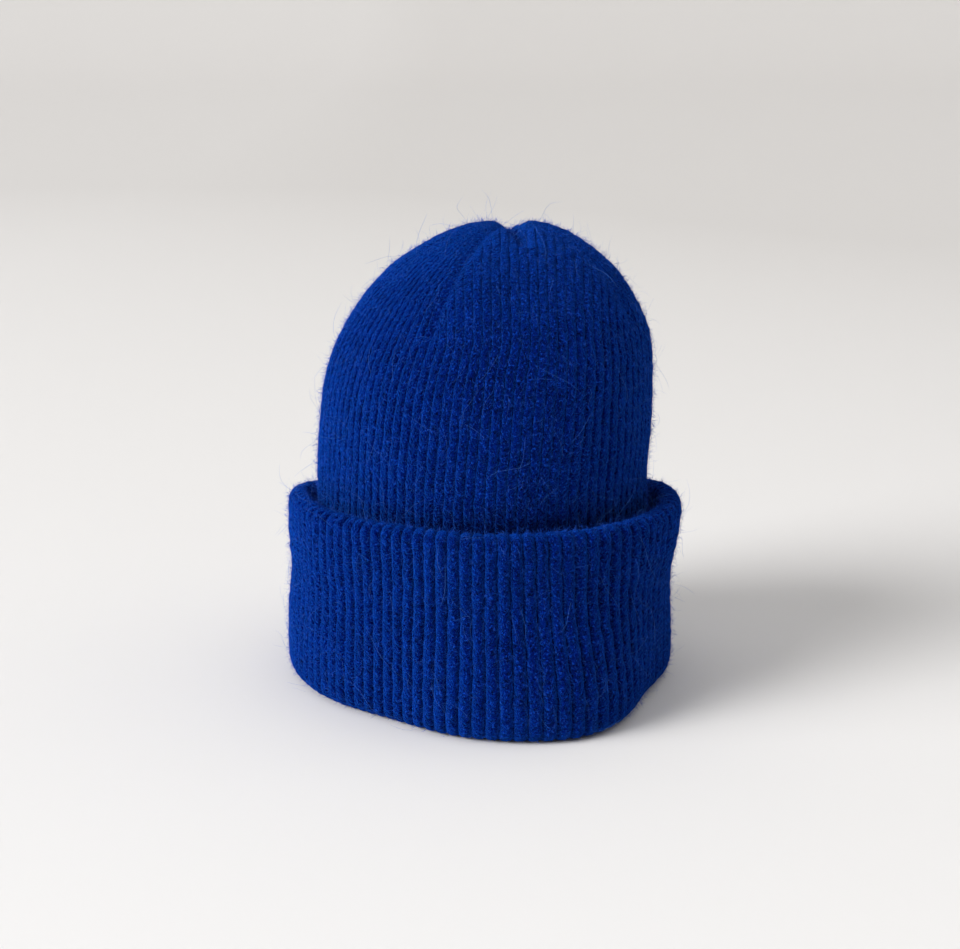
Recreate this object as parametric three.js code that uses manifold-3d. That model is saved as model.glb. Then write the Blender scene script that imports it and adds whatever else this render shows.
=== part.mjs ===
// A rib-knit ski hat that stands on its turned-up cuff.
//
// Millimetres, +Z up. The origin is on the floor, under the middle of the hat, and -Y is its front.
// The real hat is one tube of rib knitting. Four darts close its top, and its lower end is doubled
// and folded up on the outside as a deep cuff. It is built as two solids:
//   crown  the single wall of knitting, from the fold at the floor up to the closed top
//   cuff   the doubled band, with the fold that passes under the crown's edge and the rolled rim
// Every rib is one ridge between two valleys. On the dome the front and the back gore's ribs stay
// side by side and end at the darts, and the side gores' ribs grow narrow and run up to the top.

import * as THREE from "three";
import { mergeVertices } from "three/addons/utils/BufferGeometryUtils.js";
import Module from "manifold-3d";

const wasm = await Module();
wasm.setup();

// The crown, measured over its ribs. It is a soft oval, turned a little from the front.
const hatHeight = 192.3; // to where the top would be without its cleft
const crownLength = 142;
const crownBreadth = 125;
const crownTurn = -20; // degrees from +X to the oval's long axis
const crownWall = 4;

// The cuff.
const cuffHeight = 82;
const cuffThickness = 9.5;
const foldThickness = 4; // knitting between the crown's edge and the floor
const footRounding = 9; // on the fold's outer edge where it is tucked under most
const lipRounding = 2; // on its inner edge, round the head opening
const footSpread = 14; // how far the foot's front corner stands out of the oval
const rimStandoff = 5.5; // how far the rim leans out from the crown where it leans most
const seatGap = 0.4; // between the crown and the cuff that grips it

// The knitting.
const gores = 4;
const ribsPerGore = 24;
const crownRibRelief = 1;
const cuffRibRelief = 1.3;
const dartDepth = 1.2;
const valleyFade = 4; // the valleys grow shallow over the last 1/4 of a gore's width
const dartTurn = -119; // degrees from +X to the first dart

// The cleft is the crease across the top, where the four darts pull the knitting down.
const cleftTurn = -80; // degrees from +X to its front end
const cleftFrontLength = 26;
const cleftBackLength = 26;
const cleftWidth = 5;
const cleftDepth = 5.5;

// The crown's sections, from its foot to its top. rise is a share of the height over its foot, girth
// a share of the oval's size, and swayX and swayY move the section's middle by shares of the length.
const crownSections = [
  { rise: 0.0, girth: 1.0, swayX: -0.004, swayY: 0.0 },
  { rise: 0.22, girth: 0.993, swayX: -0.004, swayY: 0.0 },
  { rise: 0.44, girth: 0.985, swayX: -0.004, swayY: 0.0 },
  { rise: 0.575, girth: 0.98, swayX: 0.007, swayY: 0.0 },
  { rise: 0.69, girth: 0.95, swayX: 0.021, swayY: 0.005 },
  { rise: 0.785, girth: 0.87, swayX: 0.042, swayY: 0.01 },
  { rise: 0.87, girth: 0.715, swayX: 0.057, swayY: 0.01 },
  { rise: 0.93, girth: 0.535, swayX: 0.066, swayY: 0.01 },
  { rise: 0.975, girth: 0.315, swayX: 0.075, swayY: 0.01 },
  { rise: 0.995, girth: 0.125, swayX: 0.083, swayY: 0.01 },
  { rise: 1.0, girth: 0.0, swayX: 0.086, swayY: 0.01 },
];
const dartRow = 5; // the darts begin at this section

// The hat's shape in plan, every 30 degrees from +X round by the back, the left and the front. foot
// is a share of footSpread, tuck of footRounding, lean of rimStandoff, and rim of the cuff's height.
const directions = [
  { foot: 0.13, tuck: 0.75, lean: 0.9, rim: 0.97 }, // right
  { foot: 0.1, tuck: 0.67, lean: 0.7, rim: 0.91 },
  { foot: 0.25, tuck: 0.67, lean: 0.4, rim: 0.86 },
  { foot: 0.75, tuck: 0.67, lean: 0.4, rim: 0.845 }, // back
  { foot: 0.86, tuck: 0.67, lean: 0.3, rim: 0.85 },
  { foot: 0.2, tuck: 0.67, lean: 0.1, rim: 0.89 },
  { foot: 0.25, tuck: 0.67, lean: 0.4, rim: 0.965 }, // left
  { foot: 0.2, tuck: 0.67, lean: 0.45, rim: 0.99 },
  { foot: 0.1, tuck: 0.67, lean: 0.2, rim: 1.0 },
  { foot: 0.72, tuck: 0.67, lean: 0.65, rim: 1.0 }, // front
  { foot: 0.97, tuck: 0.67, lean: 0.75, rim: 1.0 },
  { foot: 0.0, tuck: 1.0, lean: 0.9, rim: 0.99 },
];

// The cuff's profile, at equal steps from the floor to the rim: how much of the foot's spread and of
// the rim's lean there is at each.
const cuffProfile = [
  { spread: 1.0, lean: 0.0 },
  { spread: 0.9, lean: 0.0 },
  { spread: 0.65, lean: 0.0 },
  { spread: 0.35, lean: 0.12 },
  { spread: 0.12, lean: 0.75 },
  { spread: 0.0, lean: 1.0 },
];

// How finely the faces are cut.
const columns = 2 * gores * ribsPerGore;
const liningColumns = 48;
const tubeBands = 5;
const domeBands = 9;
const rollBands = 4;
const roundingSwings = [45, 90]; // degrees round the fold's outer edge, from the floor
const faceShares = [0.35, 0.65]; // of the cuff's face, from the rounding up to the rim's roll
const probeStep = 1e-3; // a share of the crown's table, and radians
const halvings = 30; // of a range that is searched
const weldDistance = 1e-3; // mm
const turnSlack = 1e-6; // radians

const degrees = Math.PI / 180;
const crownFoot = foldThickness + seatGap;
const dartPlace = dartRow / (crownSections.length - 1);

// A smooth curve through the rows of a table: place runs from 0 at the first row to 1 at the last,
// and each column of the table comes back under its own name.
function smoothTable(rows, ending) {
  const names = Object.keys(rows[0]);
  const curve = new THREE.CubicInterpolant(
    rows.map((row, index) => index / (rows.length - 1)),
    rows.flatMap((row) => names.map((name) => row[name])),
    names.length,
    new Float64Array(names.length),
  );
  curve.settings = { endingStart: ending, endingEnd: ending };
  return (place) => {
    const values = curve.evaluate(place);
    return Object.fromEntries(names.map((name, index) => [name, values[index]]));
  };
}

const crownAt = smoothTable(crownSections, THREE.ZeroCurvatureEnding);
const profileAt = smoothTable(cuffProfile, THREE.ZeroCurvatureEnding);
const roundAt = smoothTable([...directions, directions[0]], THREE.WrapAroundEnding);

function directionAt(turn) {
  const share = turn / (360 * degrees);
  return roundAt(share - Math.floor(share));
}

// The oval's reach in this direction.
function oval(turn) {
  const own = turn - crownTurn * degrees;
  return 1 / Math.hypot(Math.cos(own) / (crownLength / 2), Math.sin(own) / (crownBreadth / 2));
}

// How far the foot's spread moves the knitting out at this height.
function spreadAt(height, turn) {
  const profile = profileAt(Math.min(1, Math.max(0, height / cuffHeight)));
  return footSpread * directionAt(turn).foot * profile.spread;
}

// The place along the crown's table that lies at this height over the floor.
function crownPlaceAt(height) {
  let low = 0;
  let high = 1;
  for (let halving = 0; halving < halvings; halving++) {
    const middle = (low + high) / 2;
    if (crownFoot + crownAt(middle).rise * (hatHeight - crownFoot) < height) low = middle;
    else high = middle;
  }
  return low;
}

// A point of the crown's smooth outer shape, moved outwards in plan by standoff.
function onCrown(place, turn, standoff = 0) {
  const section = crownAt(place);
  const height = crownFoot + section.rise * (hatHeight - crownFoot);
  const reach = section.girth * oval(turn) + spreadAt(height, turn) + standoff;
  return new THREE.Vector3(
    section.swayX * crownLength + reach * Math.cos(turn),
    section.swayY * crownLength + reach * Math.sin(turn),
    height,
  );
}

// The direction that the crown's face looks in. Its top, where all directions meet, looks straight up.
function crownNormal(place, turn) {
  if (place === 1) return new THREE.Vector3(0, 0, 1);
  const middle = Math.min(Math.max(place, probeStep), 1 - probeStep);
  const low = middle - probeStep;
  const up = onCrown(middle + probeStep, turn).sub(onCrown(low, turn));
  const around = onCrown(low, turn + probeStep).sub(onCrown(low, turn - probeStep));
  return around.cross(up).normalize();
}

// How deep the cleft is at a point of the dome. It runs through the top, and fades to both its ends.
function cleftAt(point) {
  const top = onCrown(1, 0);
  const along = new THREE.Vector2(Math.cos(cleftTurn * degrees), Math.sin(cleftTurn * degrees));
  const offset = new THREE.Vector2(point.x - top.x, point.y - top.y);
  const ahead = offset.dot(along);
  const aside = offset.cross(along);
  const length = ahead > 0 ? cleftFrontLength : cleftBackLength;
  const fade = Math.max(0, 1 - Math.abs(ahead) / length);
  return cleftDepth * Math.sqrt(fade) * Math.exp(-((aside / cleftWidth) ** 2));
}

// The width that is left of each gore at this place, as a share of its width below the darts.
function goreShare(place) {
  if (place <= dartPlace) return 1;
  return Math.max(0, crownAt(place).girth / crownAt(dartPlace).girth);
}

// Where a column of the grid, which is half a rib wide, lies at this place. A side gore's columns keep
// their own turn. The front and the back gore's keep their own x, so a column there stops at the dart
// once its gore has grown too narrow for it.
function columnAt(place, column) {
  const goreColumns = 2 * ribsPerGore;
  const gore = Math.floor(column / goreColumns);
  const start = dartTurn * degrees + (gore / gores) * 2 * Math.PI;
  const end = start + (2 * Math.PI) / gores;
  const own = start + ((column % goreColumns) / goreColumns) * (end - start);
  const narrow = goreShare(place);
  const isSide = gore % 2 === 1;
  if (isSide || narrow === 1) {
    const atDart = narrow < 1 && own === start;
    return { turn: own, atDart, ridge: !atDart && column % 2 === 1, relief: narrow };
  }
  const facing = gore === 0 ? 1 : -1;
  const { x } = onCrown(dartPlace, own);
  let low = start;
  let high = end;
  for (let halving = 0; halving < halvings; halving++) {
    const middle = (low + high) / 2;
    if (facing * onCrown(place, middle).x < facing * x) low = middle;
    else high = middle;
  }
  const atDart = low - start < turnSlack || end - low < turnSlack;
  return { turn: low, atDart, ridge: !atDart && column % 2 === 1, relief: 1 };
}

// A point of the crown's outer face. The valleys of the ribs and the darts are drawn in.
function crownPoint(place, column) {
  const { turn, atDart, ridge, relief } = columnAt(place, column);
  const point = onCrown(place, turn);
  const valley = atDart ? dartDepth : crownRibRelief * relief;
  const groove = ridge ? 0 : valley * Math.min(1, valleyFade * goreShare(place));
  return point.addScaledVector(crownNormal(place, turn), -groove - cleftAt(point));
}

// A point of the crown's inner face, which has no ribs.
function liningPoint(place, column) {
  const turn = (column / liningColumns) * 360 * degrees;
  const point = onCrown(place, turn);
  return point.addScaledVector(crownNormal(place, turn), -crownWall - cleftAt(point));
}

// A point of the cuff at this distance inside its outer face. share tells how high up the cuff it
// is, and height where it ends up.
function cuffPoint(column, share, inside, height) {
  const { turn } = columnAt(0, column);
  const { lean, rim } = directionAt(turn);
  const leaning = rimStandoff * lean * profileAt(share).lean;
  const place = crownPlaceAt(share * cuffHeight * rim);
  const point = onCrown(place, turn, seatGap + cuffThickness + leaning - inside);
  point.z = height;
  return point;
}

// The cuff's section, once round: up its face, over the rim, down inside it, in along the fold that
// carries the crown, down the lip and out along the floor. Each entry places one point of a column.
function cuffOutline() {
  const radius = cuffThickness / 2;
  const lip = cuffThickness + seatGap + crownWall;
  const rollHeight = (column) => cuffHeight * directionAt(columnAt(0, column).turn).rim - radius;
  const rounding = (column) => footRounding * directionAt(columnAt(0, column).turn).tuck;
  const sunk = (column) => (columnAt(0, column).ridge ? 0 : cuffRibRelief);
  const rollShare = 1 - radius / cuffHeight;
  const outline = [];
  for (const swingDegrees of roundingSwings) {
    const swing = swingDegrees * degrees;
    outline.push((column) => {
      const round = rounding(column);
      const inside = round * (1 - Math.sin(swing)) + sunk(column) * Math.sin(swing);
      return cuffPoint(column, 0, inside, round * (1 - Math.cos(swing)));
    });
  }
  for (const share of faceShares) {
    outline.push((column) => {
      const height = rounding(column) + (rollHeight(column) - rounding(column)) * share;
      return cuffPoint(column, share, sunk(column), height);
    });
  }
  for (let band = 0; band <= rollBands; band++) {
    const swing = (band / rollBands) * 180 * degrees;
    outline.push((column) => {
      const over = radius - (band < rollBands ? sunk(column) : 0);
      const height = rollHeight(column) + over * Math.sin(swing);
      return cuffPoint(column, rollShare, radius - over * Math.cos(swing), height);
    });
  }
  outline.push((column) => cuffPoint(column, 0.5, cuffThickness, rollHeight(column) / 2));
  outline.push((column) => cuffPoint(column, 0, cuffThickness, foldThickness));
  outline.push((column) => cuffPoint(column, 0, lip, foldThickness));
  outline.push((column) => cuffPoint(column, 0, lip, lipRounding));
  outline.push((column) => cuffPoint(column, 0, lip - lipRounding, 0));
  outline.push((column) => cuffPoint(column, 0, rounding(column), 0));
  return outline;
}

// The crown's outer face, with a flat end at its foot.
function crownOutline() {
  const outline = [() => new THREE.Vector3(0, 0, crownFoot)];
  for (let band = 0; band <= tubeBands; band++) {
    outline.push((column) => crownPoint((band / tubeBands) * dartPlace, column));
  }
  for (let band = 1; band <= domeBands; band++) {
    const place = dartPlace + (band / domeBands) * (1 - dartPlace);
    outline.push((column) => crownPoint(place, column));
  }
  return outline;
}

// The hollow inside the crown, which runs out through its foot.
function liningOutline() {
  const below = crownFoot - foldThickness / 2;
  const foot = (column) => liningPoint(0, column).setZ(below);
  const outline = [() => new THREE.Vector3(0, 0, below), foot];
  for (let row = 1; row < crownSections.length; row++) {
    outline.push((column) => liningPoint(row / (crownSections.length - 1), column));
  }
  return outline;
}

// Wraps an outline round the hat. A lathe gives the grid of faces, and each entry of the outline
// then places its own ring of points. Columns that stopped at a dart share their points there, so
// the faces between them have no width, and are dropped.
function wrap(entries, around) {
  const lathe = new THREE.LatheGeometry(
    entries.map((entry, index) => new THREE.Vector2(1, index)),
    around,
  );
  const positions = lathe.getAttribute("position");
  for (let column = 0; column <= around; column++) {
    entries.forEach((entry, index) => {
      const point = entry(column % around);
      positions.setXYZ(column * entries.length + index, point.x, point.y, point.z);
    });
  }
  lathe.deleteAttribute("normal");
  lathe.deleteAttribute("uv");
  const merged = mergeVertices(lathe, weldDistance);
  const kept = [];
  for (let first = 0; first < merged.index.count; first += 3) {
    const corners = [0, 1, 2].map((corner) => merged.index.getX(first + corner));
    if (new Set(corners).size === 3) kept.push(...corners);
  }
  return new wasm.Manifold(
    new wasm.Mesh({
      numProp: 3,
      vertProperties: new Float32Array(merged.getAttribute("position").array),
      triVerts: new Uint32Array(kept),
    }),
  );
}

function toMesh(name, solid, color) {
  const { vertProperties, triVerts } = solid.getMesh();
  const geometry = new THREE.BufferGeometry();
  geometry.setAttribute("position", new THREE.BufferAttribute(vertProperties, 3));
  geometry.setIndex(new THREE.BufferAttribute(triVerts, 1));
  geometry.computeVertexNormals();
  const knit = new THREE.MeshStandardMaterial({ color, roughness: 0.95, metalness: 0 });
  const mesh = new THREE.Mesh(geometry, knit);
  mesh.name = name;
  return mesh;
}

const crownBody = wrap(crownOutline(), columns);
const headHollow = wrap(liningOutline(), liningColumns);
const cuffRing = cuffOutline();
const cuffBody = wrap([...cuffRing, cuffRing[0]], columns);

const hat = new THREE.Group();
hat.add(toMesh("crown", crownBody.subtract(headHollow), 0x0b2d96));
hat.add(toMesh("cuff", cuffBody, 0x0a2a8e));

export default hat;
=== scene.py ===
# %% [markdown]
# # A rib-knit ski hat, standing on its turned-up cuff
#
# The hat is knitted from a brushed wool yarn. It has two pieces: a crown, which is one wall of rib
# knitting closed by four darts, and a cuff, the same knitting doubled and folded up on the outside.
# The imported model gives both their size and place. This lesson makes the same two pieces again with
# finer ribs and gives them a knitted finish. Then it plants what brushing has raised from the wool: a
# haze of fibres that lie on the ribs, a short nap that stands up, and a few long hairs.

# %% Load the frame
import math

import bmesh
import bpy
import numpy as np
from mathutils import Euler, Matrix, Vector


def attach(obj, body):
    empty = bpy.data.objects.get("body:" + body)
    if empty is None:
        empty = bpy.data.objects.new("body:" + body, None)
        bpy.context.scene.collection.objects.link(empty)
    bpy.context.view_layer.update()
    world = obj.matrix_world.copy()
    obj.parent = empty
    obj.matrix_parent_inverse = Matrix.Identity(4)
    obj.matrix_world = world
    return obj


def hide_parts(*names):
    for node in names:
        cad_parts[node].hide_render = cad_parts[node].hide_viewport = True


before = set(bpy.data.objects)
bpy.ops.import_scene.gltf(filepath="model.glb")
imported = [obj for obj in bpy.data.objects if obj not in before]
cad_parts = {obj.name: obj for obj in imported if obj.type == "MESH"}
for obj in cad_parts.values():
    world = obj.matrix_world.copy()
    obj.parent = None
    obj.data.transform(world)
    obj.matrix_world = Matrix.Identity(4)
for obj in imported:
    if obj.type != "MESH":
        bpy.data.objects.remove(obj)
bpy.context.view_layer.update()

# %% [markdown]
# ## The sizes
#
# These are the sizes that the hat was drawn from, here in metres. The crown is a soft oval tube with
# a dome on it. The cuff stands round it, leans out at its rim and spreads at its foot. A real ribbed
# hat is counted in ribs, so the ribs are counted here too: four gores of twenty-four.

# %% The crown's and the cuff's sizes
mm = 0.001
hat_height = 192.3 * mm
crown_length = 142 * mm
crown_breadth = 125 * mm
crown_turn = math.radians(-20)
crown_wall = 4 * mm
cuff_height = 82 * mm
cuff_thickness = 9.5 * mm
fold_thickness = 4 * mm
foot_rounding = 9 * mm
lip_rounding = 2 * mm
foot_spread = 14 * mm
rim_standoff = 5.5 * mm
seat_gap = 0.4 * mm
crown_foot = fold_thickness + seat_gap

gores = 4
ribs_per_gore = 24
dart_turn = math.radians(-119)
dart_depth = 1.2 * mm
cleft_turn = math.radians(-80)
cleft_front_length = 26 * mm
cleft_back_length = 26 * mm
cleft_width = 5 * mm
cleft_depth = 5.5 * mm
crease_width = 1.6 * mm
crease_depth = 5 * mm
print("ribs:", gores * ribs_per_gore)

# %% Sections, directions and profile
# From the crown's foot to its top: rise is a share of its height, girth of its full girth and sway
# of its length.
crown_sections = {
    "rise": [0, 0.22, 0.44, 0.575, 0.69, 0.785, 0.87, 0.93, 0.975, 0.995, 1],
    "girth": [1, 0.993, 0.985, 0.98, 0.95, 0.87, 0.715, 0.535, 0.315, 0.125, 0],
    "sway_x": [-0.004, -0.004, -0.004, 0.007, 0.021, 0.042, 0.057, 0.066, 0.075, 0.083, 0.086],
    "sway_y": [0, 0, 0, 0, 0.005, 0.01, 0.01, 0.01, 0.01, 0.01, 0.01],
}
dart_place = 5 / 10  # the darts begin at the sixth of the eleven sections
# Twelve directions round the hat, counted from its right side by way of its back.
directions = {
    "foot": [0.13, 0.1, 0.25, 0.75, 0.86, 0.2, 0.25, 0.2, 0.1, 0.72, 0.97, 0],
    "tuck": [0.75, 0.67, 0.67, 0.67, 0.67, 0.67, 0.67, 0.67, 0.67, 0.67, 0.67, 1],
    "lean": [0.9, 0.7, 0.4, 0.4, 0.3, 0.1, 0.4, 0.45, 0.2, 0.65, 0.75, 0.9],
    "rim": [0.97, 0.91, 0.86, 0.845, 0.85, 0.89, 0.965, 0.99, 1, 1, 1, 0.99],
}
# From the cuff's foot to its rim.
cuff_profile = {
    "spread": [1, 0.9, 0.65, 0.35, 0.12, 0],
    "lean": [0, 0, 0, 0.12, 0.75, 1],
}


def smooth_table(table, closed=False):
    """A smooth curve through a table's rows, as a function of the place from 0 to 1."""
    rows = np.array(list(table.values()), float).T
    if closed:
        rows = np.vstack([rows, rows[:1]])
        before, after = rows[-2], rows[1]
    else:
        before, after = 2 * rows[0] - rows[1], 2 * rows[-1] - rows[-2]
    points = np.vstack([before, rows, after])
    last = len(rows) - 1

    def at(place):
        along = np.clip(np.asarray(place, float), 0, 1) * last
        row = np.minimum(along.astype(int), last - 1)
        step = (along - row)[..., None]
        p0, p1, p2, p3 = (points[row + k] for k in range(4))
        cubic = 2 * p0 - 5 * p1 + 4 * p2 - p3 + step * (3 * (p1 - p2) + p3 - p0)
        values = p1 + step / 2 * (p2 - p0 + step * cubic)
        return {name: values[..., k] for k, name in enumerate(table)}

    return at


crown_at = smooth_table(crown_sections)
profile_at = smooth_table(cuff_profile)
round_at = smooth_table(directions, closed=True)
print("girth where the darts begin:", float(crown_at(dart_place)["girth"]))

# %% [markdown]
# ## The smooth shape under the ribs
#
# Every point of both pieces starts on one smooth surface, which is found from how far up the crown
# the point lies (its place) and from its turn round the hat. One surface for both is what makes the
# cuff fit the crown all the way round. The functions take whole numpy arrays, so that a grid of a
# hundred thousand points is placed in one step.

# %% Surface of the crown


def direction_at(turn):
    return round_at(turn / math.tau % 1)


def oval(turn):
    own = turn - crown_turn
    return 1 / np.hypot(np.cos(own) / (crown_length / 2), np.sin(own) / (crown_breadth / 2))


def spread_at(height, turn):
    profile = profile_at(np.clip(height / cuff_height, 0, 1))
    return foot_spread * direction_at(turn)["foot"] * profile["spread"]


def on_crown(place, turn, standoff=0.0):
    """Points of the crown's smooth outer shape, moved outwards in plan by standoff."""
    section = crown_at(place)
    height = crown_foot + section["rise"] * (hat_height - crown_foot)
    reach = section["girth"] * oval(turn) + spread_at(height, turn) + standoff
    x = section["sway_x"] * crown_length + reach * np.cos(turn)
    y = section["sway_y"] * crown_length + reach * np.sin(turn)
    return np.stack([x, y, height + 0 * reach], -1)


def crown_normal(place, turn):
    """The direction that the crown's face looks in, straight up at its top."""
    step = 1e-3
    middle = np.clip(place, step, 1 - step)
    up = on_crown(middle + step, turn) - on_crown(middle - step, turn)
    around = on_crown(middle - step, turn + step) - on_crown(middle - step, turn - step)
    normal = np.cross(around, up)
    normal /= np.linalg.norm(normal, axis=-1, keepdims=True)
    return np.where((place >= 1)[..., None], (0.0, 0.0, 1.0), normal)


fine_count = 4001
fine_places = np.linspace(0, 1, fine_count)
fine_heights = crown_foot + crown_at(fine_places)["rise"] * (hat_height - crown_foot)


def crown_place_at(height):
    """The place on the crown that lies at this height over the floor."""
    return np.interp(height, fine_heights, fine_places)


print("top of the smooth shape, mm:", round(1000 * float(on_crown(np.array(1.0), 0.0)[2]), 1))

# %% [markdown]
# ## Ribs, darts and the cleft
#
# A rib is a rounded column of knitting between two narrow grooves. Below the darts the ribs run
# straight up. On the dome the front and the back gore's ribs stay side by side and end at the darts,
# and the side gores' ribs grow narrow and run up to the top. The eight columns of points across a rib
# stand close together near its grooves, where its side is steep.

# %% Columns of the grid
rib_steps = np.array([0, 0.07, 0.2, 0.35, 0.5, 0.65, 0.8, 0.93])
rib_roundness = 0.6
gore_samples = 97
rib_count = gores * ribs_per_gore
rib_places = np.append((np.arange(rib_count)[:, None] + rib_steps).ravel(), rib_count)


def rib_profile(across, flatness):
    """The height of a rib across its width, from 0 in the grooves to 1 on its crest."""
    return (1 - np.abs(2 * (across % 1) - 1) ** flatness) ** rib_roundness


def columns_at(place):
    """Each column's turn round the hat, its place in ribs, its distance from a dart and its relief."""
    rib_turn = math.tau / rib_count
    gore_columns = ribs_per_gore * len(rib_steps)
    turn = dart_turn + rib_places * rib_turn
    ribs = rib_places.copy()
    narrow = min(1.0, float(crown_at(place)["girth"] / crown_at(dart_place)["girth"]))
    if place <= dart_place:
        return turn, ribs, np.full_like(ribs, ribs_per_gore / 2), np.ones_like(ribs)
    from_start = ribs % ribs_per_gore
    dart_gap = np.minimum(from_start, ribs_per_gore - from_start) * narrow
    relief = np.full_like(ribs, narrow)
    for gore, facing in ((0, 1), (2, -1)):
        own = slice(gore * gore_columns, (gore + 1) * gore_columns)
        counted = gore * ribs_per_gore + np.linspace(0, ribs_per_gore, gore_samples)
        turns = dart_turn + counted * rib_turn
        below = facing * on_crown(dart_place, turns)[:, 0]
        here = facing * on_crown(place, turns)[:, 0]
        aside = np.clip(np.interp(ribs[own], counted, below), here[0], here[-1])
        ends = np.interp((here[0], here[-1]), below, counted)
        turn[own] = np.interp(aside, here, turns)
        ribs[own] = np.interp(aside, below, counted)
        dart_gap[own] = np.minimum(ribs[own] - ends[0], ends[1] - ribs[own])
        relief[own] = 1
    return turn, ribs, dart_gap, relief


def cleft_at(points):
    """How deep the cleft across the top is, with a narrow crease in its front half. Both fade out."""
    offset = points[..., :2] - on_crown(np.array(1.0), 0.0)[:2]
    ahead = offset @ (math.cos(cleft_turn), math.sin(cleft_turn))
    aside = offset @ (-math.sin(cleft_turn), math.cos(cleft_turn))
    fade = np.maximum(0, 1 - np.abs(ahead) / np.where(ahead > 0, cleft_front_length, cleft_back_length))
    crease = np.where(ahead > 0, crease_depth, 0) * np.exp(-((aside / crease_width) ** 2))
    return np.sqrt(fade) * (cleft_depth * np.exp(-((aside / cleft_width) ** 2)) + crease)


print("columns of points:", len(rib_places) - 1)

# %% [markdown]
# Knitting is never quite even. A few slow waves in space, with directions and lengths drawn from a
# seeded generator, push every point a little. Two points at the same spot always move together, so
# the surface stays closed where its seams meet.

# %% Slow unevenness
uneven_waves = 20
drifts = {
    "swell": {"height": 0.3 * mm, "shortest": 22 * mm, "longest": 60 * mm, "seed": 3},
    "lumps": {"height": 0.15 * mm, "shortest": 2.6 * mm, "longest": 5.5 * mm, "seed": 4},
    "wobble": {"height": 0.2 * mm, "shortest": 5 * mm, "longest": 14 * mm, "seed": 6},
    "stray": {"height": 0.2 * mm, "shortest": 30 * mm, "longest": 70 * mm, "seed": 7},
}


def uneven(points, height, shortest, longest, seed):
    """A smooth value, near -height to height, which changes over distances from shortest to longest."""
    draw = np.random.default_rng(seed)
    value = 0
    for _ in range(uneven_waves):
        heading = draw.normal(size=3)
        heading *= math.tau / draw.uniform(shortest, longest) / np.linalg.norm(heading)
        value = value + np.cos(points @ heading + draw.uniform(0, math.tau))
    return height * value / math.sqrt(uneven_waves)


def knitting_drift(points, turn):
    """How far the knitting swells outwards, and the vectors by which its ribs stray sideways."""
    drift = {name: uneven(points, **settings) for name, settings in drifts.items()}
    aside = drift["wobble"] + drift["stray"]
    along = np.stack([-np.sin(turn), np.cos(turn), 0 * turn], -1)
    return drift["swell"] + drift["lumps"], aside[..., None] * along


print("waves:", uneven_waves)

# %% [markdown]
# ## One helper for both pieces
#
# Both pieces are closed shells whose section is wrapped round the hat. Blender's grid operator makes
# the faces. Its points are then moved to their places, and the points that meet (at the seam, along
# the darts and at the top) are merged. Two UV maps are written before the merge: "knit" counts ribs
# and courses, for the stitches, and "OFBake" lays the whole shell flat once, for baked textures.

# %% Wrap a grid of points
merge_distance = 0.001 * mm


def wrapped_mesh(name, points, uv_maps=None):
    """A mesh of the grid points[row, column]. uv_maps gives an array of two numbers per point."""
    rows, columns = points.shape[:2]
    grid = bmesh.new()
    bmesh.ops.create_grid(grid, x_segments=columns - 1, y_segments=rows - 1, size=0.5)
    mesh = bpy.data.meshes.new(name)
    grid.to_mesh(mesh)
    flat = np.empty(len(mesh.vertices) * 3, np.float32)
    mesh.vertices.foreach_get("co", flat)
    column = np.rint((flat[0::3] + 0.5) * (columns - 1)).astype(int)
    row = np.rint((flat[1::3] + 0.5) * (rows - 1)).astype(int)
    mesh.vertices.foreach_set("co", points[row, column].astype(np.float32).ravel())
    corner = np.empty(len(mesh.loops), np.int32)
    mesh.loops.foreach_get("vertex_index", corner)
    for layer, values in (uv_maps or {}).items():
        uv_map = mesh.uv_layers.new(name=layer)
        uv_map.data.foreach_set("uv", values[row, column][corner].astype(np.float32).ravel())
    grid.clear()
    grid.from_mesh(mesh)
    bmesh.ops.remove_doubles(grid, verts=grid.verts, dist=merge_distance)
    bmesh.ops.recalc_face_normals(grid, faces=grid.faces)
    for face in grid.faces:
        face.smooth = True
    grid.to_mesh(mesh)
    grid.free()
    return mesh


def add_piece(name, mesh):
    piece = bpy.data.objects.new(name, mesh)
    bpy.context.scene.collection.objects.link(piece)
    return piece


def triangle_count(mesh):
    mesh.calc_loop_triangles()
    return len(mesh.loop_triangles)


print("helpers ready")

# %% [markdown]
# ## The crown
#
# The crown is one wall of rib knitting. It could be a lathe turned once, but its plan is an oval and
# its ribs end at darts, so each row of the grid is placed by the functions above. The section starts
# at the top of the hollow, runs down the lining, round the foot that is hidden inside the cuff, and
# up the outer face to the top again. The rows are close together only where the knitting shows.

# %% Rows of the crown
crown_relief = 1.0 * mm
crown_flatness = 3.0
crown_fullness = 0.12 * mm
dart_width = 0.55  # in ribs
top_fade_rate = 4
lining_relief = 0.7 * mm
crown_row = 1.32 * mm
hidden_height = 58 * mm
hidden_rows = 4
lining_rows = 13
course_height = 2.5 * mm

middle_path = on_crown(fine_places, dart_turn + math.pi / 4)
path_steps = np.linalg.norm(np.diff(middle_path, axis=0), axis=1)
path_length = np.append(0, np.cumsum(path_steps))
shown_from = np.interp(crown_place_at(hidden_height), fine_places, path_length)
shown_count = round((path_length[-1] - shown_from) / crown_row)
outer_lengths = np.append(
    np.linspace(0, shown_from, hidden_rows, endpoint=False),
    np.linspace(shown_from, path_length[-1], shown_count + 1),
)
outer_places = np.interp(outer_lengths, path_length, fine_places)
print("outer rows:", len(outer_places), "arc, mm:", round(1000 * path_length[-1], 1))

# %% Shape of the crown
rib_seed = 11
rib_draw = np.random.default_rng(rib_seed)
rib_fullness = np.append(rib_draw.uniform(-1, 1, rib_count), 0)


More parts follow.
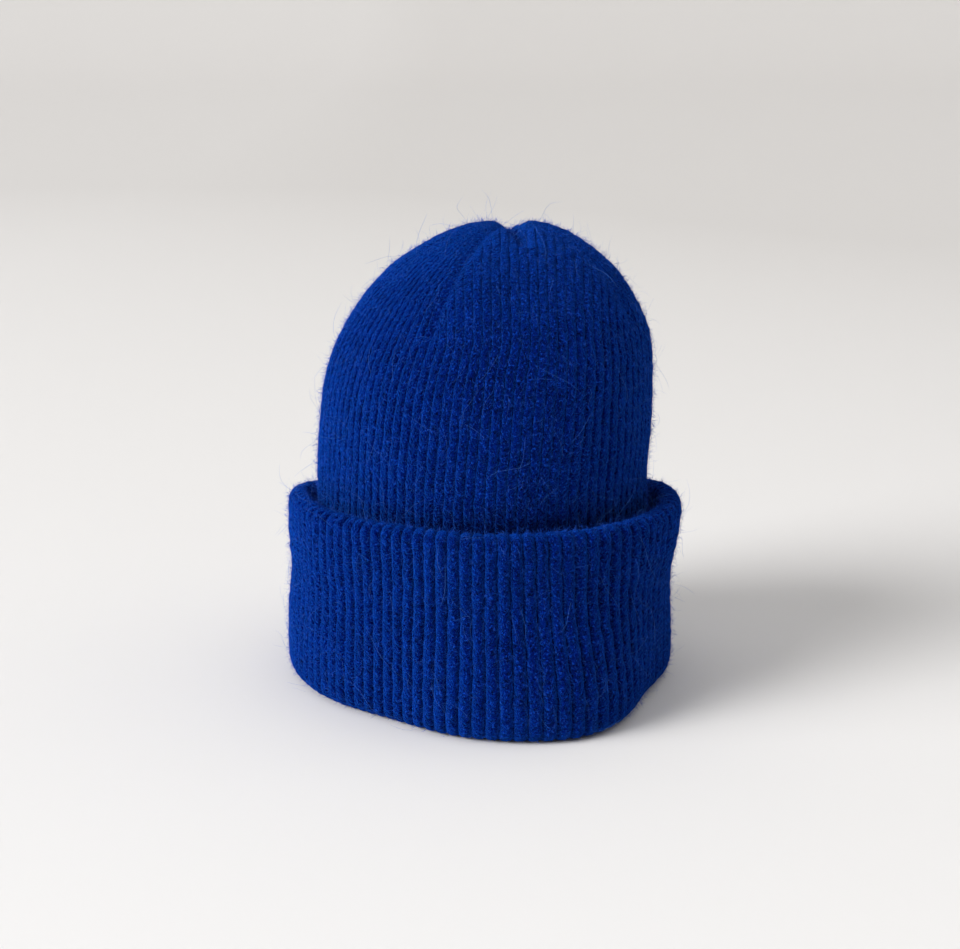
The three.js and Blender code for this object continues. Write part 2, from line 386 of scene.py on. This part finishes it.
def top_fade(place):
    """From 1 on most of the crown to 0 at its top, where all the columns meet."""
    return np.clip(top_fade_rate * crown_at(place)["girth"] / crown_at(dart_place)["girth"], 0, 1)


def crown_row_points(place):
    """One row of the crown's outer face, with its rib coordinates."""
    turn, ribs, dart_gap, relief = columns_at(place)
    places = np.full_like(turn, place)
    points = on_crown(places, turn)
    normal = crown_normal(places, turn)
    crest = rib_profile(ribs, crown_flatness)
    fade = top_fade(place)
    groove = crown_relief * (1 - crest) * relief * fade
    dart = dart_depth * np.exp(-((dart_gap / dart_width) ** 2)) * fade
    rib = np.minimum(ribs.astype(int), rib_count)
    fullness = crown_fullness * rib_fullness[rib] * crest * fade
    sunk = np.maximum(groove, dart) + cleft_at(points) - fullness
    swell, sideways = knitting_drift(points, turn)
    return points + normal * (swell * fade - sunk)[:, None] + sideways * fade, ribs


def lining_row_points(place):
    """One row of the crown's inner face. What is a groove outside is a low ridge inside."""
    turn, ribs, _, relief = columns_at(place)
    places = np.full_like(turn, place)
    points = on_crown(places, turn)
    ridge = rib_profile(ribs + 0.5, crown_flatness) * relief * top_fade(place)
    depth = crown_wall - lining_relief * (1 - ridge) + cleft_at(points)
    return points - crown_normal(places, turn) * depth[:, None], ribs


lining_places = np.linspace(1, 0, lining_rows)
lining_lengths = np.interp(lining_places, fine_places, path_length)
crown_rows = [lining_row_points(place) for place in lining_places]
crown_rows += [crown_row_points(place) for place in outer_places]
crown_points = np.array([points for points, _ in crown_rows])
crown_courses = np.append(lining_lengths, outer_lengths) / course_height
crown_points[len(lining_places) - 1, :, 2] = crown_foot
crown_points[len(lining_places), :, 2] = crown_foot
print("grid of the crown:", crown_points.shape[:2])


def knit_uvs(ribs, courses):
    """The knit map counts ribs and courses, and OFBake fills the unit square once."""
    rows, columns = ribs.shape
    across, along = np.meshgrid(np.linspace(0, 1, columns), np.linspace(0, 1, rows))
    counted = np.broadcast_to(courses[:, None], ribs.shape)
    return {"OFBake": np.stack([across, along], -1), "knit": np.stack([ribs, counted], -1)}


crown_ribs = np.array([ribs for _, ribs in crown_rows])
crown_uvs = knit_uvs(crown_ribs, crown_courses)
crown = add_piece("crown_knitting", wrapped_mesh("crown_knitting", crown_points, crown_uvs))
print("crown triangles:", triangle_count(crown.data))

# %% [markdown]
# ## The cuff
#
# The cuff is the same knitting, doubled and turned up. Its section is a soft hook: up the outer
# face, over the rolled rim, down inside against the crown, in under the crown's edge, down the lip
# of the head opening and out along the floor. Each stretch of the section is a list of rows, and a
# row needs only its share of the height, its distance inside the outer face, and its height.

# %% Rows of the cuff
cuff_relief = 2.0 * mm
cuff_flatness = 2.2
cuff_inner_relief = 0.8 * mm
floor_relief = 0.5 * mm
fullness_height = 0.15 * mm
settled_height = 12 * mm
face_rows, roll_rows, rounding_rows, inner_rows, lip_rows = 66, 13, 8, 9, 5

cuff_turn, cuff_ribs, _, _ = columns_at(0.0)
cuff_lean = direction_at(cuff_turn)["lean"]
cuff_rim = cuff_height * direction_at(cuff_turn)["rim"]
cuff_round = foot_rounding * direction_at(cuff_turn)["tuck"]
roll_radius = cuff_thickness / 2
roll_height = cuff_rim - roll_radius
roll_share = 1 - roll_radius / cuff_height
lip = cuff_thickness + seat_gap + crown_wall
rib_crest = rib_profile(cuff_ribs, cuff_flatness)
cuff_rib = np.minimum(cuff_ribs.astype(int), rib_count)
cuff_fullness = fullness_height * rib_fullness[cuff_rib][::-1]


def cuff_row_points(share, inside, height):
    """One row of the cuff: share says how high on the cuff its lean and girth are taken."""
    leaning = rim_standoff * cuff_lean * profile_at(share)["lean"]
    place = crown_place_at(share * cuff_rim)
    points = on_crown(place, cuff_turn, seat_gap + cuff_thickness + leaning - inside)
    points[:, 2] = height
    return points


cuff_groove = cuff_relief * (1 - rib_crest) - cuff_fullness * rib_crest
floor_groove = floor_relief * (1 - rib_crest)
cuff_rows = []
for swing in np.linspace(0, math.pi / 2, rounding_rows, endpoint=False):
    groove = floor_groove + (cuff_groove - floor_groove) * math.sin(swing)
    inside = cuff_round - (cuff_round - groove) * math.sin(swing)
    cuff_rows.append(cuff_row_points(0.0, inside, cuff_round - (cuff_round - groove) * math.cos(swing)))
for step in np.linspace(0, 1, face_rows, endpoint=False):
    share = np.interp(step, [0, 0.35, 0.65, 1], [0, 0.35, 0.65, roll_share])
    height = cuff_round + (roll_height - cuff_round) * step
    cuff_rows.append(cuff_row_points(share, cuff_groove, height))
for step in np.linspace(0, 1, roll_rows):
    groove = cuff_groove + (cuff_inner_relief * (1 - rib_crest) - cuff_groove) * step
    over = roll_radius - groove
    inside = roll_radius - over * math.cos(step * math.pi)
    cuff_rows.append(cuff_row_points(roll_share, inside, roll_height + over * math.sin(step * math.pi)))
for step in np.linspace(1, 0, inner_rows + 1)[1:]:
    share = np.interp(step, [0, 0.5, 1], [0, 0.5, roll_share])
    inside = cuff_thickness - cuff_inner_relief * (1 - rib_crest) * step
    height = fold_thickness + (roll_height - fold_thickness) * step
    cuff_rows.append(cuff_row_points(share, inside, height))
cuff_rows.append(cuff_row_points(0.0, lip, fold_thickness))
for swing in np.linspace(math.pi / 2, 0, lip_rows):
    radius = lip_rounding - floor_groove
    inside = lip - lip_rounding + radius * math.sin(swing)
    cuff_rows.append(cuff_row_points(0.0, inside, lip_rounding - radius * math.cos(swing)))
cuff_rows.append(cuff_rows[0])
print("rows of the cuff:", len(cuff_rows))

# %% Shape of the cuff
cuff_points = np.array(cuff_rows)
steps = np.linalg.norm(np.diff(cuff_points, axis=0), axis=2).mean(axis=1)
cuff_courses = np.append(0, np.cumsum(steps)) / course_height
off_floor = np.clip(cuff_points[..., 2] / settled_height, 0, 1)
swell, sideways = knitting_drift(cuff_points, np.broadcast_to(cuff_turn, cuff_points.shape[:2]))
outwards = np.stack([np.cos(cuff_turn), np.sin(cuff_turn), 0 * cuff_turn], -1)
cuff_points += off_floor[..., None] * (swell[..., None] * outwards + sideways)
cuff_uvs = knit_uvs(np.broadcast_to(cuff_ribs, cuff_points.shape[:2]), cuff_courses)
cuff = add_piece("cuff_knitting", wrapped_mesh("cuff_knitting", cuff_points, cuff_uvs))
print("cuff triangles:", triangle_count(cuff.data))

# %% [markdown]
# ## Shader maths as Python
#
# A material is a graph of nodes. Written out one by one the nodes hide what they compute, so a small
# class wraps a socket and adds a Math node whenever two values are combined. Every other node goes
# through one method, which takes its type, its settings and what its inputs are joined to.

# %% Shader helpers


class Value:
    """A number that varies over the surface, as an output socket of some node."""

    def __init__(self, shader, socket):
        self.shader = shader
        self.socket = socket

    def math(self, operation, *others):
        inputs = dict(enumerate((self, *others)))
        return self.shader.node("Math", {"operation": operation}, inputs)

    def __add__(self, other):
        return self.math("ADD", other)

    def __sub__(self, other):
        return self.math("SUBTRACT", other)

    def __mul__(self, other):
        return self.math("MULTIPLY", other)

    def __rsub__(self, other):
        return (self * -1).math("ADD", other)

    def __pow__(self, other):
        return self.math("POWER", other)

    def __abs__(self):
        return self.math("ABSOLUTE")

    __radd__ = __add__
    __rmul__ = __mul__

    def clamp(self):
        return self.math("MAXIMUM", 0.0).math("MINIMUM", 1.0)

    def output(self, name):
        """Another output of the same node."""
        return Value(self.shader, self.socket.node.outputs[name])


class Shader:
    """One material and the nodes in it."""

    def __init__(self, name):
        self.material = bpy.data.materials.new(name)
        self.material.use_nodes = True
        self.material.node_tree.nodes.clear()

    def node(self, kind, settings=None, inputs=None, output=0):
        made = self.material.node_tree.nodes.new("ShaderNode" + kind)
        for key, value in (settings or {}).items():
            setattr(made, key, value)
        for key, value in (inputs or {}).items():
            if isinstance(value, Value):
                self.material.node_tree.links.new(value.socket, made.inputs[key])
            else:
                made.inputs[key].default_value = value
        return Value(self, made.outputs[output])

    def mix(self, share, first, second):
        """A colour between two colours."""
        return self.node("Mix", {"data_type": "RGBA"}, {0: share, 6: first, 7: second}, output=2)

    def finish(self, surface):
        end = self.material.node_tree.nodes.new("ShaderNodeOutputMaterial")
        self.material.node_tree.links.new(surface.socket, end.inputs["Surface"])
        return self.material


print("shader helpers ready")

# %% [markdown]
# ## The knitted finish
#
# Seen close, a rib is a column of V-shaped stitches. Each leg of a V is a strand of yarn that runs
# steeply from the middle of the rib to its groove. The knit map gives the place across the rib and
# the course, so the strands are stripes of that map, slanted one way on each half of the rib. The
# turned-up cuff shows the knitting upside down, so its stripes slant the other way. The stripes are
# darker between the strands, partly painted shade, and the grooves are painted darker as shade.
# Brushing has raised a haze of fibres over the stitches: short wavy strokes in three directions,
# paler than the yarn and a little proud of it. Pale flecks are painted glints, where a fibre would
# catch the light. Four noises in space felt the haze, waver the strands, roughen the yarn and place
# the painted glints. The crown's courses next to the cuff's rim are painted darker as shade, because
# the photograph's gap there is darker than these lamps leave it.

# %% Knit material
rib_pitch = 4.8 * mm
# Dark end of the yarn: its own dark tone, and the colour of painted shade in grooves and gaps.
dark_and_shaded_blue = (0.0, 0.0005, 0.008, 1)
yarn_blue = (0.0, 0.0085, 0.157, 1)
haze_blue = (0.0004, 0.041, 0.47, 1)
# Painted glints: pale flecks that stand for fibres catching the light.
painted_glint_blue = (0.008, 0.1, 0.82, 1)
sheen_blue = (0.01, 0.17, 1, 1)
noises = {
    "felting": {"Scale": 110.0, "Detail": 2.0},
    "waver": {"Scale": 420.0, "Detail": 1.0},
    "grit": {"Scale": 850.0, "Detail": 3.0, "Roughness": 0.7},
    "glint_noise": {"Scale": 1150.0, "Detail": 1.0},
}
strokes = {
    "steep": {"angle": 20, "width": 1.0, "length": 3.6, "seed": 3.1, "weight": 0.7},
    "other": {"angle": -32, "width": 0.9, "length": 3.2, "seed": 7.7, "weight": 0.7},
    "cross": {"angle": 75, "width": 1.0, "length": 3.0, "seed": 13.9, "weight": 0.4},
}
stroke_sharpness = 8
stitch_contrast = 0.5
grit_contrast = 5.5
yarn_level = 0.38
glint_threshold = 0.62
glint_sharpness = 14
painted_glint_cover = 0.6
# How bright the painted shade leaves the crown in the gap behind the cuff's rim.
painted_gap_level = 0.25


def fibre_strokes(shader, place, angle, width, length, seed, weight):
    """Wavy strokes of this width and length in mm, from 0 between them to their weight on them."""
    laid = shader.node(
        "Mapping",
        {"vector_type": "TEXTURE"},
        {
            "Vector": place,
            "Rotation": (0, 0, math.radians(angle)),
            "Scale": (width, length, 1),
            "Location": (seed, seed, 0),
        },
    )
    noise = shader.node(
        "TexNoise",
        {"noise_dimensions": "2D"},
        {"Vector": laid, "Scale": 1.0, "Detail": 2.0, "Roughness": 0.55, "Distortion": 0.7},
    )
    ridge = 1 - abs(noise * 2 - 1) * stroke_sharpness
    return ridge.clamp() * weight


def knit_material(name, slant, groove_shade, painted_gap_courses=None):
    """Brushed rib knitting. slant is positive where the stitches stand upright.

    groove_shade is how much darker the grooves are painted, as shade, from 0 to 1. painted_gap_courses
    gives the two courses between which the wool passes from the painted shade in the gap behind the
    cuff into the open.
    """
    shader = Shader(name)
    knit = shader.node("UVMap", {"uv_map": "knit"})
    parts = shader.node("SeparateXYZ", inputs={"Vector": knit}, output="X")
    across = parts.math("FRACT")
    course = parts.output("Y")
    side = abs(across * 2 - 1)
    in_space = shader.node("TexCoord", output="Object")
    felting, waver, grit, glint_noise = (
        shader.node("TexNoise", inputs={"Vector": in_space, **settings}) for settings in noises.values()
    )

    strand_phase = (course - side * slant + waver * 0.9).math("FRACT")
    strand = 1 - abs(strand_phase * 2 - 1) ** 2.2
    leg = 1 - abs(side * 2 - 1) ** 2.5
    stitch = strand * (leg * 0.6 + 0.4)

    in_mm = shader.node(
        "VectorMath",
        {"operation": "MULTIPLY"},
        {0: knit, 1: (rib_pitch / mm, course_height / mm, 0)},
    )
    steep, other, cross = (fibre_strokes(shader, in_mm, **settings) for settings in strokes.values())
    haze = (steep + other + cross).clamp()
    # Painted glints: pale flecks placed by noise, where a fibre would catch the light.
    painted_glints = ((glint_noise - glint_threshold) * glint_sharpness).clamp()
    cover = (felting * 3 - 1).clamp()

    # Painted shade: the crown's courses in the gap behind the cuff's rim are darkened in colour.
    painted_gap_shade = 1.0
    if painted_gap_courses:
        first, last = painted_gap_courses
        out_of_gap = (course - first + waver * 2 - 1) * (1 / (last - first))
        painted_gap_shade = out_of_gap.clamp() * (1 - painted_gap_level) + painted_gap_level
    # Painted shade darkens the grooves and partly the stitches between strands; grit is the yarn's tone.
    grain = stitch * stitch_contrast + yarn_level + (grit - 0.5) * grit_contrast
    shade = grain * (1 - side ** 4 * groove_shade) * painted_gap_shade
    yarn = shader.mix(shade.clamp(), dark_and_shaded_blue, yarn_blue)
    hazed = shader.mix(haze * (cover * 0.3 + 0.15) * painted_gap_shade, yarn, haze_blue)
    colour = shader.mix(painted_glints * painted_glint_cover * painted_gap_shade, hazed, painted_glint_blue)

    height = stitch * (0.45 - cover * 0.2) + haze * 0.25 + grit * 2.4
    bump = shader.node("Bump", inputs={"Height": height, "Strength": 1.0, "Distance": 1 * mm})
    surface = shader.node(
        "BsdfPrincipled",
        inputs={
            "Base Color": colour,
            "Roughness": 0.95,
            "Specular IOR Level": 0.02,
            "Sheen Weight": 0.85,
            "Sheen Roughness": 0.25,
            "Sheen Tint": sheen_blue,
            "Normal": bump,
        },
    )
    return shader.finish(surface)


# The crown gets painted shade in the gap behind the cuff's rim; the cuff gets none.
crown.data.materials.append(knit_material("crown_rib_knit", 1.1, 0.6, (31, 36)))
cuff.data.materials.append(knit_material("cuff_rib_knit", -1.1, 0.85))
print("nodes:", len(cuff.data.materials[0].node_tree.nodes))

# %% [markdown]
# ## Haze, nap and hairs
#
# Brushed wool is never smooth at its edge. Some fibres lie on the ribs as a haze, thousands more
# stand a millimetre or two out of them as the nap, and a few long hairs curl further away. Particle
# hair would not survive an export, so each fibre is a tiny closed spindle of six triangles, and each
# hair a longer one of thirty. Points are strewn over the finished knitting by area, and Geometry
# Nodes puts one of a few bent spindles on each point and makes them real.

# %% Spindles
fibre_bends = (0.05, 0.14, 0.24, -0.12)
fibre_rings = 1
hair_curls = ((0.06, 0.03), (0.14, 0.02), (0.2, -0.06), (-0.08, 0.07), (0.1, -0.03))
hair_rings = 5
hair_thickness = 0.004  # as a share of the hair's length


def spindle(name, bow, wave, rings, thickness):
    """A fibre of length 1 along +Z. bow bends it one way, and wave twice."""
    along = np.linspace(0, 1, rings + 2)
    radius = thickness / 2 * np.sin(math.pi * np.clip(along, 0.02, 0.98)) ** 0.5
    radius[[0, -1]] = 0
    corner = np.arange(4) % 3 * math.tau / 3
    x = bow * np.sin(math.pi * along)[:, None] + radius[:, None] * np.cos(corner)
    y = wave * np.sin(math.tau * along)[:, None] + radius[:, None] * np.sin(corner)
    points = np.stack([x, y, np.broadcast_to(along[:, None], x.shape)], -1)
    return bpy.data.objects.new(name, wrapped_mesh(name, points))


def fibre_material(name, colour):
    shader = Shader(name)
    surface = shader.node(
        "BsdfPrincipled",
        inputs={"Base Color": colour, "Roughness": 0.8, "Specular IOR Level": 0.1},
    )
    return shader.finish(surface)


haze_fibre = fibre_material("haze_fibre", (0.001, 0.065, 0.6, 1))
nap_fibre = fibre_material("nap_fibre", (0.02, 0.1, 0.6, 1))
hair_fibre = fibre_material("loose_hair", (0.06, 0.18, 0.65, 1))
print("bends of the fibres:", fibre_bends)

# %% Strew roots over a piece
heading_spread = 0.9


def strew(piece, count, rows, top_row, draw):
    """Points on a piece with their normals, on the part of its grid between two rows."""
    mesh = piece.data
    mesh.calc_loop_triangles()
    corners = np.empty(len(mesh.loop_triangles) * 3, np.int32)
    mesh.loop_triangles.foreach_get("vertices", corners)
    loops = np.empty(len(mesh.loop_triangles) * 3, np.int32)
    mesh.loop_triangles.foreach_get("loops", loops)
    place = np.empty(len(mesh.vertices) * 3, np.float32)
    mesh.vertices.foreach_get("co", place)
    laid = np.empty(len(mesh.loops) * 2, np.float32)
    mesh.uv_layers["OFBake"].data.foreach_get("uv", laid)
    a, b, c = place.reshape(-1, 3)[corners.reshape(-1, 3)].transpose(1, 0, 2).astype(float)
    normal = np.cross(b - a, c - a)
    area = np.linalg.norm(normal, axis=1)
    row = laid[1::2][loops.reshape(-1, 3)].mean(axis=1) * top_row
    weight = area * ((row > rows[0]) & (row < rows[1]))
    chosen = draw.choice(len(area), count, p=weight / weight.sum())
    u, v = draw.uniform(size=(2, count))
    u, v = np.where(u + v > 1, (1 - u, 1 - v), (u, v))
    roots = a[chosen] + u[:, None] * (b - a)[chosen] + v[:, None] * (c - a)[chosen]
    return roots, normal[chosen] / area[chosen, None]


def unit(vectors):
    return vectors / np.maximum(np.linalg.norm(vectors, axis=-1, keepdims=True), 1e-12)


def headings(normal, rise, draw):
    """Directions that rise from the surface by these angles, mostly up or down the ribs."""
    count = len(normal)
    upwards = unit(np.array([0, 0, 1.0]) - normal * normal[:, 2:])
    sideways = np.cross(normal, upwards)
    angle = draw.normal(0, heading_spread, count) + math.pi * draw.integers(0, 2, count)
    flat = np.cos(angle)[:, None] * upwards + np.sin(angle)[:, None] * sideways
    return np.cos(rise)[:, None] * flat + np.sin(rise)[:, None] * normal


print("strewing ready")

# %% Plant fibres with Geometry Nodes


def plant(name, roots, heading, bow_side, size, templates, material, draw):
    """Puts a template on each root, with its length along heading and its bow to bow_side."""
    z_axis = unit(heading)
    x_axis = unit(bow_side - z_axis * np.sum(bow_side * z_axis, axis=1, keepdims=True))
    y_axis = np.cross(z_axis, x_axis)
    turn = np.stack(
        [
            np.arctan2(y_axis[:, 2], z_axis[:, 2]),
            -np.arcsin(np.clip(x_axis[:, 2], -1, 1)),
            np.arctan2(x_axis[:, 1], x_axis[:, 0]),
        ],
        -1,
    )
    mesh = bpy.data.meshes.new(name)
    mesh.vertices.add(len(roots))
    mesh.vertices.foreach_set("co", roots.astype(np.float32).ravel())
    for label, values in (("turn", turn), ("size", size)):
        attribute = mesh.attributes.new(label, "FLOAT_VECTOR", "POINT")
        attribute.data.foreach_set("vector", values.astype(np.float32).ravel())
    kind = mesh.attributes.new("kind", "INT", "POINT")
    kind.data.foreach_set("value", draw.integers(0, len(templates), len(roots)).astype(np.int32))
    box = bpy.data.collections.new(name + "_templates")
    for template in templates:
        box.objects.link(template)

    tree = bpy.data.node_groups.new(name, "GeometryNodeTree")
    tree.interface.new_socket("Geometry", in_out="INPUT", socket_type="NodeSocketGeometry")
    tree.interface.new_socket("Geometry", in_out="OUTPUT", socket_type="NodeSocketGeometry")
    start = tree.nodes.new("NodeGroupInput")
    end = tree.nodes.new("NodeGroupOutput")
    pick = tree.nodes.new("GeometryNodeCollectionInfo")
    pick.inputs["Collection"].default_value = box
    pick.inputs["Separate Children"].default_value = True
    pick.inputs["Reset Children"].default_value = True
    put = tree.nodes.new("GeometryNodeInstanceOnPoints")
    put.inputs["Pick Instance"].default_value = True
    real = tree.nodes.new("GeometryNodeRealizeInstances")
    tree.links.new(start.outputs[0], put.inputs["Points"])
    tree.links.new(pick.outputs[0], put.inputs["Instance"])
    wanted = (
        ("kind", "INT", "Instance Index"),
        ("turn", "FLOAT_VECTOR", "Rotation"),
        ("size", "FLOAT_VECTOR", "Scale"),
    )
    for label, data_type, socket in wanted:
        read = tree.nodes.new("GeometryNodeInputNamedAttribute")
        read.data_type = data_type
        read.inputs["Name"].default_value = label
        tree.links.new(read.outputs["Attribute"], put.inputs[socket])
    tree.links.new(put.outputs[0], real.inputs[0])
    tree.links.new(real.outputs[0], end.inputs[0])

    piece = add_piece(name, mesh)
    piece.modifiers.new("plant", "NODES").node_group = tree
    ready = piece.evaluated_get(bpy.context.evaluated_depsgraph_get())
    joined = bpy.data.meshes.new_from_object(ready)
    piece.modifiers.clear()
    piece.data = joined
    joined.materials.clear()
    joined.materials.append(material)
    for template in templates:
        bpy.data.objects.remove(template)
    bpy.data.collections.remove(box)
    return piece


print("planting ready")

# %% Haze and nap of both pieces
fibre_root = 0.25 * mm
shortest_fibre = 0.5  # as shares of the mean length
longest_fibre = 1.8
fibre_evenness = 6
lowest_fibre = 0.5 * mm
fibre_bow = 0.6  # how much more the fibres bow towards the wool than any other way
fibres = {
    "haze": {
        "count": 16000,
        "rises": (0.0, 0.35),
        "mean_length": 2.6 * mm,
        "thickness": 0.034,
        "material": haze_fibre,
    },
    "nap": {
        "count": 30000,
        "rises": (0.3, 1.25),
        "mean_length": 2.1 * mm,
        "thickness": 0.037,
        "material": nap_fibre,
    },
}
first_seed = 21


def grow_fibres(name, piece, shown, seed, count, rises, mean_length, thickness, material):
    """Short fibres all over the shown part of a piece, rising from it by angles between rises."""
    draw = np.random.default_rng(seed)
    roots, normal = strew(piece, count, *shown, draw)
    length = draw.gamma(fibre_evenness, mean_length / fibre_evenness, count)
    length = np.clip(length, shortest_fibre * mean_length, longest_fibre * mean_length)
    heading = headings(normal, draw.uniform(*rises, count), draw)
    sinks = roots[:, 2] + length * heading[:, 2] < lowest_fibre
    heading[sinks, 2] = np.abs(heading[sinks, 2])
    bow_side = draw.normal(size=(count, 3)) - normal * fibre_bow
    templates = [
        spindle(name + str(k), bend, 0, fibre_rings, thickness) for k, bend in enumerate(fibre_bends)
    ]
    size = np.repeat(length[:, None], 3, axis=1)
    roots = roots - normal * fibre_root
    return plant(name, roots, heading, bow_side, size, templates, material, draw)


crown_top_row = len(crown_rows) - 1
crown_shown = ((len(lining_places) + hidden_rows, crown_top_row), crown_top_row)
cuff_shown = ((1.5, rounding_rows + face_rows + roll_rows + 2), len(cuff_rows) - 1)
hosts = {"crown": (crown, crown_shown), "cuff": (cuff, cuff_shown)}
grown = {host: [] for host in hosts}
seed = first_seed
for kind, settings in fibres.items():
    for host, (piece, shown) in hosts.items():
        grown[host].append(grow_fibres(host + "_" + kind, piece, shown, seed, **settings))
        print(kind, "triangles on the", host + ":", triangle_count(grown[host][-1].data))
        seed += 1

# %% Loose hairs
hair_count = 850
hair_reach = 7 * mm
shortest_hair, longest_hair = 5, 24  # in mm
hair_evenness, hair_scale = 5, 2.2
lowest_hair = 3 * mm
hair_bow = 0.4  # how much more the hairs bow away from the wool than any other way
hair_seeds = {"crown": 31, "cuff": 32}


def grow_hairs(name, piece, shown, seed):
    """A few long hairs, which leave the knitting so flat that they rise by less than the reach."""
    draw = np.random.default_rng(seed)
    roots, normal = strew(piece, hair_count, *shown, draw)
    length = draw.gamma(hair_evenness, hair_scale, hair_count)
    length = np.clip(length, shortest_hair, longest_hair) * mm
    steepest = np.arcsin(np.minimum(1, hair_reach / length))
    heading = headings(normal, steepest * draw.uniform(0.15, 0.9, hair_count), draw)
    sinks = roots[:, 2] + length * heading[:, 2] < lowest_hair
    heading[sinks, 2] = np.abs(heading[sinks, 2])
    bow_side = draw.normal(size=(hair_count, 3)) + normal * hair_bow
    templates = [
        spindle(name + str(k), bow, wave, hair_rings, hair_thickness)
        for k, (bow, wave) in enumerate(hair_curls)
    ]
    size = np.repeat(length[:, None], 3, axis=1)
    roots = roots - normal * fibre_root
    return plant(name, roots, heading, bow_side, size, templates, hair_fibre, draw)


for host, (piece, shown) in hosts.items():
    grown[host].append(grow_hairs(host + "_hairs", piece, shown, hair_seeds[host]))
    print("hair triangles on the", host + ":", triangle_count(grown[host][-1].data))

# %% [markdown]
# ## Joining the frame
#
# Each new piece rides on the imported model's one body. The knitted shells stand for the imported
# solids, which are hidden.

# %% Ride and replace
for piece in (crown, *grown["crown"]):
    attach(piece, "root")
for piece in (cuff, *grown["cuff"]):
    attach(piece, "root")
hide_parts("crown")
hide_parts("cuff")

# %% [markdown]
# ## The studio
#
# The hat stands on a pale floor that curves up into a wall far behind it, the usual way to hide the
# corner of a studio. The lamps shine evenly on all of it, so shade is painted into the paper, which
# is drawn a little darker far away and on the right, as the photograph's floor is. Two broad lamps on
# the left and a little in front, one of them low, make the long soft shadow. A very broad one behind,
# one overhead and a weak one on the right keep the shadow open, and a faint light comes from all
# around.

# %% Floor
floor_half_width = 20.0
floor_front = -8.0
sweep_start = 5.5
sweep_radius = 3.0
wall_height = 12.0
floor_rows = 48
# The paper where it is lit, and where painted shade darkens it far away and on the right.
near_paper = (0.87, 0.86, 0.853, 1)
shaded_far_paper = (0.60, 0.582, 0.565, 1)

floor_path = []
for step in np.linspace(0, 1, floor_rows):
    along = floor_front + step * (sweep_start - floor_front + sweep_radius * math.pi / 2 + wall_height)
    beyond = along - sweep_start
    angle = min(max(beyond, 0) / sweep_radius, math.pi / 2)
    climb = max(0, beyond - sweep_radius * math.pi / 2)
    y = min(along, sweep_start) + sweep_radius * math.sin(angle)
    floor_path.append((y, sweep_radius * (1 - math.cos(angle)) + climb))
floor_edges = (floor_half_width, -floor_half_width)
floor_grid = np.array([[(x, y, z) for x in floor_edges] for y, z in floor_path])
floor = add_piece("studio_floor", wrapped_mesh("studio_floor", floor_grid))
floor_shader = Shader("studio_paper")
floor_place = floor_shader.node("TexCoord", output="Object")
floor_across = floor_shader.node("SeparateXYZ", inputs={"Vector": floor_place}, output="X")
floor_depth = floor_across.output("Y")
# Painted shade: the paper grows darker far away and on the right, where less light would fall.
painted_far_shade = (floor_depth * 0.45 + 0.15).clamp() ** 0.7
painted_side_shade = (floor_across + 0.5).clamp() * 0.3 - 0.1
floor_colour = floor_shader.mix((painted_far_shade + painted_side_shade).clamp(), near_paper, shaded_far_paper)
floor_surface = floor_shader.node(
    "BsdfPrincipled",
    inputs={"Base Color": floor_colour, "Roughness": 0.9, "Specular IOR Level": 0.1},
)
floor.data.materials.append(floor_shader.finish(floor_surface))
print("floor faces:", len(floor.data.polygons))

# %% Light
lamps = {
    "key": {"azimuth": 27, "height": 36, "spread": 28, "strength": 1.7},
    "low": {"azimuth": 19, "height": 20, "spread": 38, "strength": 2.4},
    "back": {"azimuth": -118, "height": 52, "spread": 120, "strength": 1.3},
    "top": {"azimuth": 0, "height": 88, "spread": 60, "strength": 0.5},
    "fill": {"azimuth": 160, "height": 25, "spread": 100, "strength": 0.4},
}
around_strength = 0.03
lamp_distance = 2  # only for show: these lamps light the hat alike from any distance


def add_lamp(name, azimuth, height, spread, strength):
    """A broad far lamp. azimuth turns from the left towards the front, in degrees."""
    turn, rise = math.radians(azimuth), math.radians(height)
    away = Vector((-math.cos(turn) * math.cos(rise), -math.sin(turn) * math.cos(rise), math.sin(rise)))
    lamp = bpy.data.objects.new(name, bpy.data.lights.new(name, "SUN"))
    lamp.location = away * lamp_distance
    lamp.rotation_euler = away.to_track_quat("Z", "Y").to_euler()
    lamp.data.angle = math.radians(spread)
    lamp.data.energy = strength
    bpy.context.scene.collection.objects.link(lamp)
    return lamp


for name, settings in lamps.items():
    add_lamp(name, **settings)

world = bpy.data.worlds.new("studio")
world.use_nodes = True
world.node_tree.nodes["Background"].inputs["Color"].default_value = (1, 1, 1, 1)
world.node_tree.nodes["Background"].inputs["Strength"].default_value = around_strength
bpy.context.scene.world = world
bpy.context.scene.view_settings.view_transform = "Standard"
print("lamps:", list(lamps))

# %% [markdown]
# ## The camera
#
# The photograph looks down on the hat by about sixteen degrees from not quite three quarters of a
# metre, with a lens that shows a little more than the hat. A camera object looks along its own -Z,
# so standing it up by ninety degrees less the tilt points it at the hat.

# %% Camera
camera_tilt = math.radians(16)
camera_distance = 0.7
camera_aim = Vector((-0.001, 0, 0.085))
focal_pixels = 1663
image_width = 960

camera_data = bpy.data.cameras.new("camera")
camera_data.sensor_width = 36
camera_data.lens = camera_data.sensor_width * focal_pixels / image_width
camera = bpy.data.objects.new("camera", camera_data)
back = Vector((0, -math.cos(camera_tilt), math.sin(camera_tilt)))
camera.location = camera_aim + back * camera_distance
camera.rotation_euler = Euler((math.pi / 2 - camera_tilt, 0, 0))
bpy.context.scene.collection.objects.link(camera)
bpy.context.scene.camera = camera
print("lens, mm:", round(camera_data.lens, 1))
